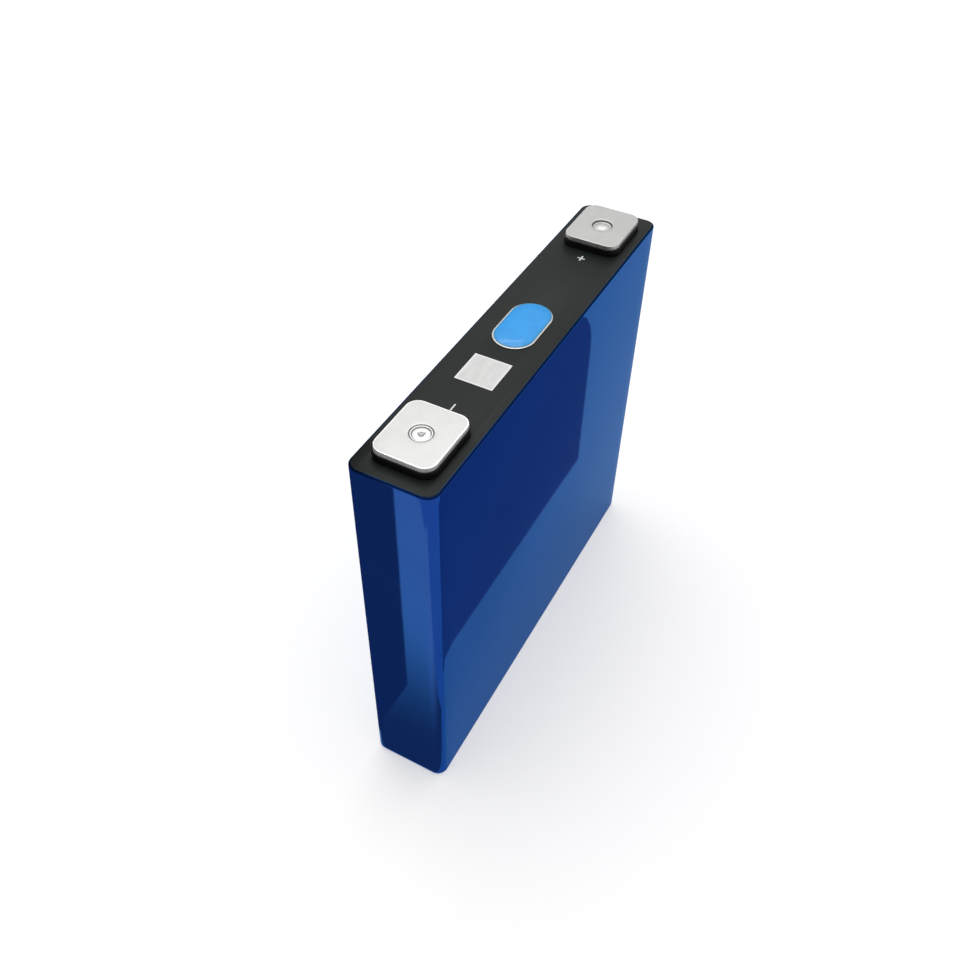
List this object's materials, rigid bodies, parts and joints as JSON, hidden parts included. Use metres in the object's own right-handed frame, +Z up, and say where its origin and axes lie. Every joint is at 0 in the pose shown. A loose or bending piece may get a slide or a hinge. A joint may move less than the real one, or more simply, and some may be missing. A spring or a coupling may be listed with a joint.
{
  "type": "prismatic battery cell",
  "caption": "Hard-case prismatic lithium cell in a blue film wrap, with flat weld terminals on a black-faced lid and a pressure vent between them.",
  "frame": {"origin": "middle of the underside, on the face that the cell stands on", "axes": "+X along the length towards the positive terminal, +Y across the thin side, +Z up towards the terminals"},
  "size_m": [0.148, 0.0262, 0.1384],
  "materials": {
    "blue_film": "glossy deep blue PET film",
    "black_patch": "satin black insulating sheet",
    "black_plastic": "moulded black plastic",
    "terminal_aluminium": "fine-blasted satin aluminium",
    "case_aluminium": "drawn aluminium sheet",
    "vent_aluminium": "rolled aluminium foil with a scored groove",
    "vent_blue": "light-blue protective film",
    "silver_label": "silver-white label stock",
    "white_ink": "printed white ink",
    "seal_rubber": "fluoro-rubber",
    "white_plastic": "moulded natural plastic",
    "clear_film": "insulating film",
    "copper": "copper strip and foil",
    "tab_aluminium": "bright foil bundle",
    "cathode_coating": "dark grey electrode coating",
    "anode_coating": "black graphite coating",
    "separator": "white porous film",
    "green_tape": "green polyester tape"
  },
  "bodies": {
    "root": {"blue_film_wrap": "blue_film", "bottom_film": "blue_film", "can": "case_aluminium", "cover_plate": "case_aluminium", "vent_plate": "vent_aluminium", "vent_film": "vent_blue", "top_patch": "black_patch", "code_label": "silver_label", "minus_mark": "white_ink", "plus_mark": "white_ink", "filling_plug": "seal_rubber", "filling_cap": "case_aluminium", "negative_terminal_block": "terminal_aluminium", "positive_terminal_block": "terminal_aluminium", "negative_terminal_post": "terminal_aluminium", "positive_terminal_post": "terminal_aluminium", "negative_upper_insulator": "black_plastic", "positive_upper_insulator": "black_plastic", "negative_seal_ring": "seal_rubber", "positive_seal_ring": "seal_rubber", "negative_lower_insulator": "white_plastic", "positive_lower_insulator": "white_plastic", "negative_collector": "copper", "positive_collector": "tab_aluminium", "bottom_support": "white_plastic", "core_sleeve": "clear_film", "core_a_positive_sheet": "cathode_coating", "core_a_negative_sheet": "anode_coating", "core_a_separators": "separator", "core_a_end_tape": "green_tape", "core_a_negative_tabs": "copper", "core_a_positive_tabs": "tab_aluminium", "core_b_positive_sheet": "cathode_coating", "core_b_negative_sheet": "anode_coating", "core_b_separators": "separator", "core_b_end_tape": "green_tape", "core_b_negative_tabs": "copper", "core_b_positive_tabs": "tab_aluminium"}
  },
  "joints": []
}
